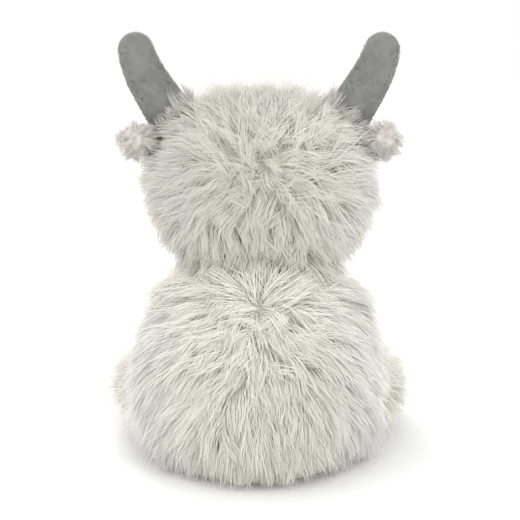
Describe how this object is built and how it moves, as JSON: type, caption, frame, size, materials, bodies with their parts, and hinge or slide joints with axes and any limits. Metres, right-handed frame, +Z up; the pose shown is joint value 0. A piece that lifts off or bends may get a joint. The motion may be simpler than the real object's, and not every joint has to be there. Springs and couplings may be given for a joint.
{
  "type": "horned soft toy animal",
  "caption": "Seated soft toy animal in long shaggy cream pile with blunt grey fabric horns, small fluffy ears, a jointed neck and swinging legs.",
  "frame": {"origin": "centre of the seat's flat underside", "axes": "+Z up; the face looks along -Y; the toy's own left side is +X"},
  "size_m": [0.172, 0.185, 0.2465],
  "materials": {
    "long_pile": "long shaggy acrylic pile",
    "trimmed_pile": "pile trimmed short",
    "horn_fabric": "brushed short-pile velboa",
    "hoof_fabric": "brushed short-pile velboa",
    "ear_lining": "short plush",
    "muzzle_fabric": "short plush",
    "nose_fabric": "short plush",
    "thread": "sewing thread",
    "eye_plastic": "polished",
    "washer_plastic": "moulded",
    "seat_fabric": "short plush",
    "pouch_fabric": "plain woven cotton",
    "pellet_plastic": "moulded",
    "stuffing": "polyester fibre"
  },
  "bodies": {
    "torso": {"back_fur_left": "long_pile", "back_fur_right": "long_pile", "back_seam_thread": "thread", "bean_pellets": "pellet_plastic", "bean_pouch": "pouch_fabric", "belly_fur": "long_pile", "seat_panel": "seat_fabric", "torso_stuffing": "stuffing"},
    "head": {"crown_fur": "long_pile", "eye_left": "eye_plastic", "eye_right": "eye_plastic", "eye_washers": "washer_plastic", "face_fur": "trimmed_pile", "head_stuffing": "stuffing", "mouth_thread": "thread", "muzzle_chin": "muzzle_fabric", "muzzle_stuffing": "stuffing", "muzzle_top": "muzzle_fabric", "nose": "nose_fabric", "side_fur_left": "long_pile", "side_fur_right": "long_pile"},
    "ear_left": {"ear_left_fur": "long_pile", "ear_left_lining": "ear_lining"},
    "ear_right": {"ear_right_fur": "long_pile", "ear_right_lining": "ear_lining"},
    "front_leg_left": {"front_leg_left_fur": "long_pile", "front_leg_left_hoof": "hoof_fabric", "front_leg_left_stuffing": "stuffing"},
    "front_leg_right": {"front_leg_right_fur": "long_pile", "front_leg_right_hoof": "hoof_fabric", "front_leg_right_stuffing": "stuffing"},
    "hind_leg_left": {"hind_leg_left_fur": "long_pile", "hind_leg_left_hoof": "hoof_fabric", "hind_leg_left_sole": "hoof_fabric", "hind_leg_left_stuffing": "stuffing"},
    "hind_leg_right": {"hind_leg_right_fur": "long_pile", "hind_leg_right_hoof": "hoof_fabric", "hind_leg_right_sole": "hoof_fabric", "hind_leg_right_stuffing": "stuffing"},
    "horn_left": {"horn_left_back": "horn_fabric", "horn_left_front": "horn_fabric", "horn_left_stuffing": "stuffing"},
    "horn_right": {"horn_right_back": "horn_fabric", "horn_right_front": "horn_fabric", "horn_right_stuffing": "stuffing"},
    "neck": {"neck_fur": "long_pile", "neck_stuffing": "stuffing"}
  },
  "joints": [
    {"name": "neck_turn", "type": "hinge", "parent": "torso", "child": "neck", "pos_m": [0, 0, 0.112], "axis": [0, 0, 1], "range_deg": [-20, 20], "stiffness_Nm_per_rad": 0.12},
    {"name": "head_nod", "type": "hinge", "parent": "neck", "child": "head", "pos_m": [0, 0, 0.112], "axis": [1, 0, 0], "range_deg": [-12, 12], "stiffness_Nm_per_rad": 0.3},
    {"name": "ear_left_flap", "type": "hinge", "parent": "head", "child": "ear_left", "pos_m": [0.061, 0.01, 0.186], "axis": [0, -1, 0], "range_deg": [-20, 20], "stiffness_Nm_per_rad": 0.004},
    {"name": "horn_left_bend", "type": "hinge", "parent": "head", "child": "horn_left", "pos_m": [0.05, -0.003, 0.2], "axis": [0, -1, 0], "range_deg": [-10, 10], "stiffness_Nm_per_rad": 0.03},
    {"name": "front_leg_left_swing", "type": "hinge", "parent": "torso", "child": "front_leg_left", "pos_m": [0.03, -0.06, 0.07], "axis": [-1, 0, 0], "range_deg": [-5, 35], "stiffness_Nm_per_rad": 0.04},
    {"name": "hind_leg_left_lift", "type": "hinge", "parent": "torso", "child": "hind_leg_left", "pos_m": [0.065, -0.028, 0.036], "axis": [-1, 0, 0], "range_deg": [-5, 25], "stiffness_Nm_per_rad": 0.1},
    {"name": "ear_right_flap", "type": "hinge", "parent": "head", "child": "ear_right", "pos_m": [-0.061, 0.01, 0.186], "axis": [0, 1, 0], "range_deg": [-20, 20], "stiffness_Nm_per_rad": 0.004},
    {"name": "horn_right_bend", "type": "hinge", "parent": "head", "child": "horn_right", "pos_m": [-0.05, -0.003, 0.2], "axis": [0, 1, 0], "range_deg": [-10, 10], "stiffness_Nm_per_rad": 0.03},
    {"name": "front_leg_right_swing", "type": "hinge", "parent": "torso", "child": "front_leg_right", "pos_m": [-0.03, -0.06, 0.07], "axis": [-1, 0, 0], "range_deg": [-5, 35], "stiffness_Nm_per_rad": 0.04},
    {"name": "hind_leg_right_lift", "type": "hinge", "parent": "torso", "child": "hind_leg_right", "pos_m": [-0.065, -0.028, 0.036], "axis": [-1, 0, 0], "range_deg": [-5, 25], "stiffness_Nm_per_rad": 0.1}
  ]
}
